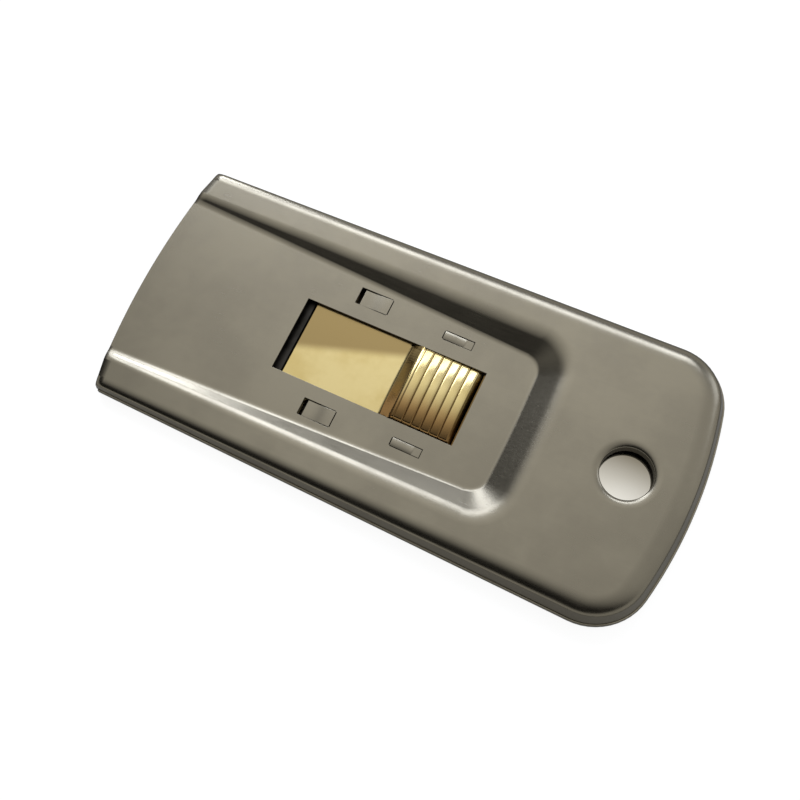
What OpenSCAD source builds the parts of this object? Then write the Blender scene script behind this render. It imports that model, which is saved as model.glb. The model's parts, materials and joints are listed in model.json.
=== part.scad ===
// Pocket scraper for single-edge razor blades: two stamped steel covers, a sliding brass
// blade holder with a ribbed thumb hump, and the blade with its folded spine.
// Millimetres. X runs from the blade mouth (-X) to the hanging hole (+X), Y across, Z up.
// The origin is at the middle of the flat back.

/* [Body] */
// Length over the mouth's and the rear end's round edges
body_length = 101.6; // [98:0.2:110]
// Width of the straight sides carried on to the rear end
rear_width = 49.4; // [48:0.2:54]
// Radius of the round front edge
front_arc_r = 132; // [100:1:160]
// Radius of the round rear edge
rear_arc_r = 82; // [60:1:110]
// Radius of the rear corners
rear_corner_r = 10; // [7:0.5:12]
// How far the rim stands over the sunken panel at the mouth
rim_front_rise = 0.3; // [0.2:0.05:0.6]
// How far the rim stands over the panel's height at the rear end
rim_rear_rise = 2.4; // [2:0.1:3.5]
// Thickness of the steel sheet of both covers
sheet = 0.5; // [0.4:0.05:0.6]
// Outside radius of the bend between the rim and the side walls
bend_r = 1.7; // [1.2:0.1:2]

/* [Seam] */
// Height of the back cover's turned-up edge
flange_height = 1.5; // [1.2:0.1:1.8]
// How far the side walls lean in over that height, which locks the covers
wall_lean = 0.25; // [0.1:0.05:0.4]
// Play between the turned-up edge and the wall inside it
seam_gap = 0.05; // [0.03:0.01:0.1]
// How far the turned-up edge stops short of the front corners
flange_setback = 1; // [0.5:0.1:3]

/* [Sunken panel] */
// Clearance between the panel and the brass under it
panel_gap = 0.34; // [0.2:0.02:0.5]
// Width of the sunken area between the rims
recess_width = 32.6; // [31:0.2:34]
// Distance from the rear end to the sunken area
recess_from_rear = 27.5; // [26.5:0.5:34]
// Slope of the walls that lead down to the panel, in degrees
recess_wall_angle = 24; // [20:1:35]
// Radius of the panel's rear corners
panel_corner_r = 3; // [1:0.5:4]
// Radius of the rim's edge round those corners
recess_corner_r = 6.5; // [5:0.5:8]

/* [Window] */
// Length of the window in the panel
window_length = 33.6; // [32:0.1:35]
// Width of the window
window_width = 13.7; // [13:0.1:14.5]
// Distance from the front edge to the window
window_from_front = 28.5; // [26:0.5:29]

/* [Guide tongues] */
// Length of a square tongue's opening
square_length = 5.9; // [5:0.1:6.5]
// Width of a square tongue's opening
square_width = 3.1; // [2.5:0.1:3.4]
// Distance from the window's front end to the square openings
square_from_window = 7.7; // [7:0.1:9]
// Slit left at the square tongue's free end
square_slit = 0.9; // [0.6:0.1:1.2]
// Length of the step down next to a square tongue's root
square_run = 1.8; // [1.2:0.1:2.5]
// How far the free end of a square tongue is pressed down
square_drop = 0.65; // [0.4:0.05:0.7]
// Length of a narrow tongue
narrow_length = 5.3; // [4.5:0.1:6]
// Width of a narrow tongue
narrow_width = 1.7; // [1.2:0.1:2]
// Distance from the window's rear end to the narrow tongues' free ends
narrow_from_window = 4; // [3:0.1:5]
// Length of the slope next to a narrow tongue's root
narrow_run = 3.6; // [2:0.1:4]
// How far the free end of a narrow tongue is pressed down
narrow_drop = 0.4; // [0.3:0.05:0.5]
// Shear gap along the sides of the tongues
shear_gap = 0.08; // [0.05:0.01:0.12]
// Distance from the window's side to the tongues
tongue_from_window = 2.55; // [2.4:0.05:2.8]

/* [Hanging hole] */
// Diameter of the hole through both covers
hang_d = 8.6; // [6:0.2:10]
// Distance from the rear end to the middle of the hole
hang_from_rear = 12.2; // [11:0.1:15]
// Depth of the collar drawn down round the hole
collar_depth = 2.2; // [1.6:0.1:2.6]
// Size of the eased edge on top of the hole
hang_ease = 0.4; // [0.2:0.1:0.45]

/* [Slide] */
// Thickness of the brass sheet
brass = 0.5; // [0.4:0.05:0.6]
// Running clearance over and under the brass and the blade
run_gap = 0.2; // [0.15:0.05:0.25]
// Side clearance of the strip between the tongues
guide_gap = 0.3; // [0.2:0.05:0.4]
// Clearance of the thumb hump in the window, at each side
hump_side_gap = 0.45; // [0.3:0.05:0.8]
// Clearance between the hump and the window's rear end, with the blade drawn in
hump_rear_gap = 0.5; // [0.3:0.05:1]
// Length of the hump
hump_length = 13; // [12:0.1:14]
// Height of the hump's crest over the panel
hump_rise = 1.4; // [1:0.1:2]
// Length of the hump's front slope
hump_front_run = 2.1; // [1.5:0.1:3]
// Length of the hump's rear slope
hump_rear_run = 0.8; // [0.6:0.1:2]
// How much lower the crest is at its rear end
hump_fall = 0.7; // [0.3:0.1:0.9]
// Radius of the arch across the hump
hump_arch_r = 15; // [13:0.5:20]
// Plain stretch between the front slope and the first rib
rib_front_gap = 0.55; // [0.3:0.05:1]
// Number of cross ribs on the hump
rib_count = 6; // [4:1:7]
// How far the ribs stand out
rib_rise = 0.3; // [0.2:0.05:0.4]
// Gap between the window's front end and the strip's front end
strip_front_gap = 1.7; // [1.3:0.1:2]
// Width of the arms that reach forward to the blade's notches
arm_width = 3.2; // [2.6:0.1:3.6]
// Length of the springy tail behind the hump
tail_length = 11; // [9:0.5:13]
// Width of the tail
tail_width = 10; // [8:0.5:12]
// Length of the tail's flat stretch behind the hump
tail_flat = 1.6; // [1:0.1:2.5]
// Length of the tail's upturned end
tail_tip = 3.3; // [2:0.1:4]
// Free play left when the hump meets the window's front end
front_stop_gap = 0.3; // [0.2:0.05:0.6]

/* [Blade] */
// Length of the cutting edge
blade_width = 38.1; // [37.6:0.1:38.3]
// Depth of the blade from its edge to the back of the spine
blade_depth = 19; // [18:0.1:19.5]
// Thickness of the blade
blade_thickness = 0.23; // [0.2:0.01:0.3]
// Length of the ground bevel
blade_bevel = 1.2; // [0.8:0.1:1.6]
// Thickness left at the cutting edge
edge_thickness = 0.03; // [0.02:0.01:0.05]
// Depth of the folded spine
spine_depth = 5.5; // [5:0.1:6]
// Thickness over the folded spine
spine_thickness = 0.95; // [0.85:0.05:1.1]
// Length of the notches in the blade's ends
notch_length = 3; // [2.6:0.1:3.4]
// Depth of the notches
notch_depth = 1.8; // [1.6:0.1:2.2]
// Clearance of the holder's lugs in the notches
lug_gap = 0.2; // [0.1:0.05:0.3]
// Space between the blade's ends and the covers' walls at the mouth
blade_side_gap = 2.7; // [1:0.1:3]
// Clearance between the spine and the brass behind it
spine_gap = 0.3; // [0.1:0.05:0.4]
// Size of the eased edges along the spine's back
spine_ease = 0.24; // [0.1:0.02:0.3]
// Play between the spine's fold and the blade
fold_gap = 0.01; // [0.005:0.005:0.02]

/* [Hidden] */

steel = "#8f897c";
steel_back = "#878276";
brass_colour = "#d9c78f";
blade_steel = "#b9bcbf";
spine_steel = "#9a9c9e";

// Cutting shapes run this far past the faces that they cut
past = 1;
// Thickness of the slices that the rounded bodies are spanned between
slice = 0.01;
// Steps round one corner or end
arc_steps = 8;
// Steps round a bend
bend_steps = 4;
// Facets of the large round cuts and bores, of the recess corners and of the ribs
round_fn = 180;
corner_fn = 32;
rib_fn = 48;
// Bodies that the front arc trims start this far in front of it
front_past = 4;

half_length = body_length / 2;
cover_inset = sheet + seam_gap;

// Heights of the stack between the covers, up to the sunken panel and the rim
spine_z = sheet + fold_gap;
brass_z = spine_z + spine_thickness + run_gap;
brass_top = brass_z + brass;
panel_under = brass_top + panel_gap;
panel_height = panel_under + sheet;
front_height = panel_height + rim_front_rise;
rear_height = panel_height + rim_rear_rise;

// The mouth's width follows from the blade that has to pass it
front_width = blade_width + 2 * (blade_side_gap + cover_inset + sheet);
side_rise = (rear_width - front_width) / 2 / body_length;
side_angle = atan(side_rise);
front_x = -half_length - front_past;
tilt = (rear_height - front_height) / body_length;
mid_height = (front_height + rear_height) / 2;
lean = wall_lean / flange_height;

// Half of the width between the straight sides at x
function side_half(x) = front_width / 2 + side_rise * (x + half_length);
// Height of the rim's plane at x
function rim_height(x) = mid_height + tilt * x;

// Middles of the rear edge's arc and of the upper rear corner
rear_arc_x = half_length - rear_arc_r;
corner_q = side_half(0) - rear_corner_r / cos(side_angle);
corner_a = 1 + side_rise * side_rise;
corner_b = side_rise * corner_q - rear_arc_x;
corner_c = rear_arc_x * rear_arc_x + corner_q * corner_q - pow(rear_arc_r - rear_corner_r, 2);
corner_x = (-corner_b + sqrt(corner_b * corner_b - corner_a * corner_c)) / corner_a;
corner_y = side_rise * corner_x + corner_q;
corner_from = atan2(corner_y, corner_x - rear_arc_x);
corner_to = 90 + side_angle;

function arc(x, y, r, from, to) =
    [for (i = [0:arc_steps]) let (t = from + (to - from) * i / arc_steps) [x + r * cos(t), y + r * sin(t)]];

// Outline of the body, drawn in by inset, with its front end square
function outline(inset) = let (
        half_front = side_half(front_x) - inset / cos(side_angle),
        r = rear_corner_r - inset
    ) concat(
        [[front_x, -half_front]],
        arc(corner_x, -corner_y, r, -corner_to, -corner_from),
        arc(rear_arc_x, 0, rear_arc_r - inset, -corner_from, corner_from),
        arc(corner_x, corner_y, r, corner_from, corner_to),
        [[front_x, half_front]]
    );

recess_x = half_length - recess_from_rear;
wall_slope = tan(recess_wall_angle);
// Plan width of the recess wall at x, and the panel's rear edge
function wall_run(x) = (rim_height(x) - panel_height) / wall_slope;
panel_x = recess_x - wall_run(recess_x);

window_x = -half_length + window_from_front;
window_rear_x = window_x + window_length;
tongue_y = window_width / 2 + tongue_from_window;
square_x = window_x + square_from_window;
square_rear_x = square_x + square_length;
narrow_rear_x = window_rear_x - narrow_from_window;
narrow_x = narrow_rear_x - narrow_length;

hang_x = half_length - hang_from_rear;
hang_r = hang_d / 2;

// Places along the slide, with the blade drawn in
strip_x = window_x + strip_front_gap;
strip_half = tongue_y + shear_gap - guide_gap;
cross_rear_x = square_x + square_slit - guide_gap;
hump_rear_x = window_rear_x - hump_rear_gap;
hump_x = hump_rear_x - hump_length;
hump_half = window_width / 2 - hump_side_gap;
hump_crest_x = hump_x + hump_front_run;
hump_end_x = hump_rear_x - hump_rear_run;
hump_z = panel_height + hump_rise;
hump_end_z = hump_z - hump_fall;
arch_z = hump_z - hump_arch_r;
spine_x = strip_x - spine_gap;
edge_x = spine_x - blade_depth;
notch_rear_x = spine_x - spine_depth;
notch_x = notch_rear_x - notch_length;
arm_y = blade_width / 2 - notch_depth + lug_gap;
blade_z = spine_z + (spine_thickness - blade_thickness) / 2;
blade_rear_x = spine_x - spine_thickness / 2;
lug_z = blade_z - run_gap;
// The tail dips to half the running clearance over the back cover
tail_x = hump_rear_x + tail_length;
tail_z = sheet + run_gap / 2;

// Longest travel: the foot of the hump's front slope stops short of the window's front end
travel = hump_x - window_x - front_stop_gap;
echo(travel = travel, edge_inside = edge_x + half_length, edge_out = travel - edge_x - half_length);

// Trims what it is given to the round front edge, drawn in by inset
module behind_front(inset = 0) {
    intersection() {
        children();
        translate([-half_length + inset + front_arc_r, 0, -past])
            cylinder(r = front_arc_r, h = rear_height + hump_rise + 3 * past, $fn = 2 * round_fn);
    }
}

// A thin slice of the outline, level at height z
module level_slice(inset, z) {
    translate([0, 0, z])
        linear_extrude(slice)
            polygon(outline(inset));
}

// A thin slice that lies along the rim's plane, lowered by down
module rim_slice(down) {
    multmatrix([[1, 0, 0, 0], [0, 1, 0, 0], [tilt, 0, 1, mid_height - down], [0, 0, 0, 1]])
        linear_extrude(slice)
            children();
}

// The cover's full body: leaning walls and a round bend up to the rim. It is drawn in by a thickness.
module cover_body(inset, foot) {
    base = cover_inset + inset;
    hull() {
        level_slice(base + lean * foot, foot);
        for (i = [0:bend_steps])
            let (t = 90 * i / bend_steps, r = bend_r - inset)
                rim_slice(bend_r - r * sin(t) + slice)
                    polygon(outline(base + lean * front_height + r * (1 - cos(t))));
    }
}

// The sunken area, grown by a thickness for the cover's inner side
module recess(thickness) {
    grow = thickness * tan(recess_wall_angle / 2);
    half_rim = recess_width / 2 + grow;
    hull() {
        translate([0, 0, panel_height - thickness])
            linear_extrude(slice)
                recess_plan(panel_x + grow, half_rim - wall_run(front_x), half_rim - wall_run(panel_x),
                    panel_corner_r);
        for (up = [0, past])
            rim_slice(thickness - up)
                recess_plan(recess_x + grow, half_rim, half_rim, recess_corner_r);
    }
}

// Plan of the sunken area at one height, with round rear corners
module recess_plan(rear_x, half_front, half_rear, corner_r) {
    for (side = [-1, 1])
        translate([rear_x - corner_r, side * (half_rear - corner_r)])
            circle(corner_r, $fn = corner_fn);
    translate([front_x, -half_front])
        square([slice, 2 * half_front]);
}

// Openings of the guide tongues, cut through the panel, and what places them at both sides
module at_both_sides() {
    for (side = [0, 1])
        mirror([0, side, 0])
            translate([0, tongue_y, 0])
                children();
}

module tongue_opening(x, length, width) {
    translate([x, 0, panel_under - past])
        cube([length, width, sheet + 2 * past]);
}

// A sheared tongue that steps down from its root over run and goes on level to its free end
module tongue(root_x, tip_x, width, drop, run) {
    to_tip = tip_x < root_x ? -1 : 1;
    bite = -to_tip * shear_gap;
    step_x = root_x + to_tip * run;
    translate([0, width - shear_gap, 0])
        rotate([90, 0, 0])
            linear_extrude(width - 2 * shear_gap)
                polygon([
                    [root_x + bite, panel_under],
                    [root_x + bite, panel_height],
                    [root_x, panel_height],
                    [step_x, panel_height - drop],
                    [tip_x, panel_height - drop],
                    [tip_x, panel_under - drop],
                    [step_x, panel_under - drop],
                    [root_x, panel_under]
                ]);
}

module hang_bore() {
    translate([hang_x, 0, -past])
        cylinder(r = hang_r, h = rear_height + 2 * past, $fn = round_fn);
}

// The upper cover: rim, sunken panel with its window and tongues, side walls and collar
module top_cover() {
    color(steel)
    difference() {
        union() {
            difference() {
                behind_front() cover_body(0, sheet);
                recess(0);
                difference() {
                    cover_body(sheet, -past);
                    recess(sheet);
                }
                translate([window_x, -window_width / 2, panel_under - past])
                    cube([window_length, window_width, sheet + 2 * past]);
                at_both_sides() {
                    tongue_opening(square_x, square_length, square_width);
                    tongue_opening(narrow_x, narrow_length, narrow_width);
                }
            }
            at_both_sides() {
                tongue(square_rear_x, square_x + square_slit, square_width, square_drop, square_run);
                tongue(narrow_x, narrow_rear_x - shear_gap, narrow_width, narrow_drop, narrow_run);
            }
            translate([hang_x, 0, rim_height(hang_x) - collar_depth])
                cylinder(r = hang_r + sheet, h = collar_depth - sheet / 2, $fn = round_fn);
        }
        hang_bore();
        translate([hang_x, 0, rim_height(hang_x) - hang_ease])
            cylinder(r1 = hang_r, r2 = hang_r + hang_ease + past, h = hang_ease + past, $fn = round_fn);
    }
}

// The lower cover: a flat plate whose edge turns up round the upper cover's walls
module back_cover() {
    color(steel_back)
    difference() {
        union() {
            behind_front()
                linear_extrude(sheet)
                    polygon(outline(0));
            behind_front(flange_setback)
                difference() {
                    hull() {
                        level_slice(0, 0);
                        level_slice(wall_lean, flange_height - slice);
                    }
                    hull() {
                        level_slice(sheet + lean * sheet, sheet);
                        level_slice(sheet + lean * (flange_height + past), flange_height + past);
                    }
                }
        }
        hang_bore();
    }
}

// Height of the crest at x, falling from its front end to its rear end
function crest_height(x) = hump_z - hump_fall * (x - hump_crest_x) / (hump_end_x - hump_crest_x);

// Profile of the arch over its middle line: x is the radius, y the place along the slide
module arch_profile(thickness) {
    polygon([
        [0, hump_x],
        [crest_height(hump_x) - arch_z - thickness, hump_x],
        [crest_height(hump_rear_x) - arch_z - thickness, hump_rear_x],
        [0, hump_rear_x]
    ]);
}

// Round ribs along the crest, each an arc that stands out by rib_rise
module rib_profile() {
    pitch = (hump_end_x - hump_crest_x - rib_front_gap) / rib_count;
    rib_r = (pitch * pitch / 4 + rib_rise * rib_rise) / (2 * rib_rise);
    for (i = [0:rib_count - 1])
        let (x = hump_crest_x + rib_front_gap + pitch * (i + 0.5))
            translate([crest_height(x) - arch_z + rib_rise - rib_r, x])
                circle(rib_r, $fn = rib_fn);
}

// The hump from the side: a steep front slope, the crest's room and a rear slope
module slope_profile(thickness) {
    front_steep = (hump_z - brass_top) / hump_front_run;
    rear_steep = (hump_end_z - brass_top) / hump_rear_run;
    foot = brass_z + brass / 2 - thickness;
    top = hump_z + rib_rise + past;
    polygon([
        [hump_x + thickness + (foot - brass_top) / front_steep, foot],
        [hump_x + thickness + (top - brass_top) / front_steep, top],
        [hump_rear_x - thickness - (top - brass_top) / rear_steep, top],
        [hump_rear_x - thickness - (foot - brass_top) / rear_steep, foot]
    ]);
}

// The hump: an arch turned about a line along the slide below it, between the two slopes
module hump_body(thickness) {
    intersection() {
        translate([0, 0, arch_z])
            rotate([0, 90, 0])
                rotate_extrude($fn = 2 * round_fn) {
                    arch_profile(thickness);
                    if (thickness == 0)
                        rib_profile();
                }
        translate([0, hump_half - thickness, 0])
            rotate([90, 0, 0])
                linear_extrude(2 * (hump_half - thickness))
                    slope_profile(thickness);
    }
}

// The brass blade holder: strip, cross bar, two arms with lugs, thumb hump and springy tail
module thumb_slide() {
    color(brass_colour)
    difference() {
        union() {
            translate([0, 0, brass_z])
                linear_extrude(brass) {
                    translate([strip_x, -strip_half])
                        square([hump_rear_x - strip_x, 2 * strip_half]);
                    translate([strip_x, -blade_width / 2])
                        square([cross_rear_x - strip_x, blade_width]);
                    for (side = [0, 1])
                        mirror([0, side])
                            translate([notch_x + lug_gap, blade_width / 2 - arm_width])
                                square([strip_x - notch_x, arm_width]);
                }
            for (side = [0, 1])
                mirror([0, side, 0])
                    translate([notch_x + lug_gap, arm_y, lug_z])
                        cube([notch_length - 2 * lug_gap, notch_depth - 2 * lug_gap, brass_top - lug_z]);
            hump_body(0);
            translate([0, tail_width / 2, 0])
                rotate([90, 0, 0])
                    linear_extrude(tail_width)
                        polygon([
                            [hump_rear_x - past, brass_top],
                            [hump_rear_x + tail_flat, brass_top],
                            [tail_x - tail_tip, tail_z + brass],
                            [tail_x, tail_z + brass + run_gap],
                            [tail_x, tail_z + run_gap],
                            [tail_x - tail_tip, tail_z],
                            [hump_rear_x + tail_flat, brass_z],
                            [hump_rear_x - past, brass_z]
                        ]);
        }
        hump_body(brass);
    }
}

// The blade: a ground edge, a body of even thickness and a notch in each end
module razor_blade() {
    mid = blade_z + blade_thickness / 2;
    color(blade_steel)
    difference() {
        translate([0, blade_width / 2, 0])
            rotate([90, 0, 0])
                linear_extrude(blade_width)
                    polygon([
                        [edge_x, mid - edge_thickness / 2],
                        [edge_x + blade_bevel, blade_z],
                        [blade_rear_x, blade_z],
                        [blade_rear_x, blade_z + blade_thickness],
                        [edge_x + blade_bevel, blade_z + blade_thickness],
                        [edge_x, mid + edge_thickness / 2]
                    ]);
        for (side = [0, 1])
            mirror([0, side, 0])
                translate([notch_x, blade_width / 2 - notch_depth, blade_z - past])
                    cube([notch_length, notch_depth + past, blade_thickness + 2 * past]);
    }
}

// The spine: a strip folded over the blade's back edge, with its back corners eased
module blade_spine() {
    color(spine_steel)
    translate([0, blade_width / 2, 0])
        rotate([90, 0, 0])
            linear_extrude(blade_width)
                difference() {
                    polygon([
                        [notch_rear_x, spine_z],
                        [spine_x - spine_ease, spine_z],
                        [spine_x, spine_z + spine_ease],
                        [spine_x, spine_z + spine_thickness - spine_ease],
                        [spine_x - spine_ease, spine_z + spine_thickness],
                        [notch_rear_x, spine_z + spine_thickness]
                    ]);
                    translate([notch_rear_x - past, blade_z - fold_gap])
                        square([
                            blade_rear_x + fold_gap - notch_rear_x + past,
                            blade_thickness + 2 * fold_gap
                        ]);
                }
}

top_cover();
back_cover();
thumb_slide();
razor_blade();
blade_spine();
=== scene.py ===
"""Looks of a pocket scraper for single-edge blades, dressed round its CAD frame.

Every piece is drawn in millimetres with Blender's modelling tools and is brought to metres when
it is done. X runs from the blade mouth to the hanging hole, Y across the body and Z up out of the
sunken panel.
"""

import json
import math
from types import SimpleNamespace

import bmesh
import bpy
from mathutils import Matrix, Vector

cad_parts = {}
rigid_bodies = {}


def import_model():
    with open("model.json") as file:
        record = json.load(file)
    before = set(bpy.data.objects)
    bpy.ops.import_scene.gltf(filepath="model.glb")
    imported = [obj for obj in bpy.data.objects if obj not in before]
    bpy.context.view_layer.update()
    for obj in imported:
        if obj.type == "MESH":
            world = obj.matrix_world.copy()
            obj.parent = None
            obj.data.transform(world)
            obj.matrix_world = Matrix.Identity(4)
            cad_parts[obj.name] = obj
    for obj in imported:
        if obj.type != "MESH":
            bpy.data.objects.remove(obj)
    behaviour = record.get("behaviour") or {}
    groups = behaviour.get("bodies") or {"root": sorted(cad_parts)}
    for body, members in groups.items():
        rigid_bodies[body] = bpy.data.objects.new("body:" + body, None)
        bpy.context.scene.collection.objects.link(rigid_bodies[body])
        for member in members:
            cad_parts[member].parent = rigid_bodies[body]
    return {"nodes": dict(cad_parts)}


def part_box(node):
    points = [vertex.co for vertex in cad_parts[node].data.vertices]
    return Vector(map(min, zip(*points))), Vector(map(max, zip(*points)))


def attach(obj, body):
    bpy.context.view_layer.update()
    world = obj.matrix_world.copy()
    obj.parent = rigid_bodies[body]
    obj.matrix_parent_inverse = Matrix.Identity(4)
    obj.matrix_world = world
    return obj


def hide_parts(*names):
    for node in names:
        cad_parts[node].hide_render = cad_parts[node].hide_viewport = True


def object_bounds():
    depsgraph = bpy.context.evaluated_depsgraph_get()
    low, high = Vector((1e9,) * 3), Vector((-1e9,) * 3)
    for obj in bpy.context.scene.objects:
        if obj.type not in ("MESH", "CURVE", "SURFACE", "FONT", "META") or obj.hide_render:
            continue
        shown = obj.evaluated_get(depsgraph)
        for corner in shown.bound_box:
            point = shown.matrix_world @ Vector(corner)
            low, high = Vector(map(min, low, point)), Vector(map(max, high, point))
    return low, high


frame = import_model()
CAD_BOX = [list(corner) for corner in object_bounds()]

bl_info = {
    "name": "Pocket Scraper Looks",
    "version": (1, 0, 0),
    "blender": (4, 5, 0),
    "location": "View3D > Sidebar > Scraper",
    "description": "Models the covers and the brass slide of a pocket scraper and sets its stage",
    "category": "Object",
}

MM = 0.001

# Corners sharper than the first are eased, and bends gentler than the second are shaded smooth
SHARP = math.radians(60)
SMOOTH = math.radians(38)

# Millimetres between points that are merged, play when points are picked, flat sheet beside a bend
WELD = 0.005
PLAY = 0.001
FLAT = 0.1
# Millimetres: how near to a row its points lie, how far beyond a level points count as off it, and
# how far cutters stand out of the sheet
NEAR = 0.1
CLEAR = 0.05
OVERCUT = 1
# Millimetres by which edges are eased
EASED = {"cover": 0.1, "tongue": 0.07, "back": 0.06, "plate": 0.1, "tail": 0.08, "lugs": 0.15}
# Segments of the outline's rear corners, rear edge and front edge, of the hump's arch and of rounds
CORNER_STEPS, REAR_STEPS, FRONT_STEPS, ARCH_STEPS, ROUND_STEPS = 12, 20, 24, 28, 96

# A map range with soft ends; its inputs are a value and the limits that it goes from and to
SOFT = {"interpolation_type": "SMOOTHSTEP"}
# Shares of the sheet's thickness that are left where the cover's shoulder is tighter than the sheet
DRAWN_THIN = (0.45, 0.6, 0.85)
# How much gentler the recess walls are at the mouth, and how far the bends reach into them there
MOUTH_GENTLE = 1.7
MOUTH_MEET = 0.47
# Rows of the rims' front ends: shares of the lip's run and of its drop
LIP_ROWS = ((0, 1.0), (0.4, 0.3))
# Rows of the back's crimped edge: millimetres inside the outline and shares of its height
CRIMP_ROWS = ((0.02, 0.6), (0.06, 0.8), (0.1, 0.97))
# Shares of the sheet's thickness that are left on the last two of them
CRIMPED_THIN = (0.75, 0.4)
# Millimetres between the first two points of the back's rows
BACK_START = 0.4
# One rib along the hump: shares of its pitch and of its rise
RIB_SHAPE = (
    (0, 0), (0.06, 0.6), (0.12, 0.9), (0.25, 0.98), (0.5, 1), (0.75, 0.98), (0.88, 0.9),
    (0.94, 0.6), (1, 0),
)

# The ceiling's light across the part and along it: the direction it comes from, and its level
CEILING = {
    "Y": (
        (-0.42, 0.012), (-0.33, 0.02), (-0.24, 0.12), (-0.13, 0.36), (0, 0.56), (0.14, 0.73),
        (0.27, 0.8), (0.4, 1.12), (0.7, 0.13),
    ),
    "X": (
        (-0.72, 0.01), (-0.57, 0.32), (-0.4, 1.08), (-0.05, 0.94), (0.08, 0.68), (0.4, 0.74),
        (0.9, 0.66),
    ),
}
# The table's radius, and how far it lies under the part, in metres
TABLE_RADIUS = 2.4
TABLE_GAP = 0.05 * MM
# Lamps: middle in metres, width, height and radiance
LAMPS = {
    "side_lamp": ((-0.19, 0.48, 0.58), 0.62, 0.16, 3.2),
    "corner_lamp": ((-0.45, 0.53, 0.39), 0.22, 0.2, 6),
    "rear_lamp": ((0.4, 0.5, 0.42), 0.3, 0.3, 0.9),
}
# The camera's place in metres, and the directions that its back and its right side face
CAMERA_PLACE = (0.03856, -0.04955, 0.17711)
CAMERA_BACK = (0.2121, -0.2485, 0.9451)
CAMERA_RIGHT = (0.8958, 0.4361, -0.0864)
CAMERA_SHIFT = (5 / 800, 1 / 800)


def linear(code):
    """An sRGB hex colour as linear red, green and blue, with full alpha."""
    parts = [int(code[i : i + 2], 16) / 255 for i in (1, 3, 5)]
    return [c / 12.92 if c <= 0.04045 else ((c + 0.055) / 1.055) ** 2.4 for c in parts] + [1.0]


def length(name, text, size):
    """A size written in millimetres and kept in metres."""
    return bpy.props.FloatProperty(
        name=name, description=text, default=size * MM, unit="LENGTH", precision=5
    )


def colour(name, text, code):
    """A colour written as an sRGB hex value and kept linear."""
    return bpy.props.FloatVectorProperty(
        name=name, description=text, default=linear(code), size=4, subtype="COLOR", min=0, max=1
    )


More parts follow.
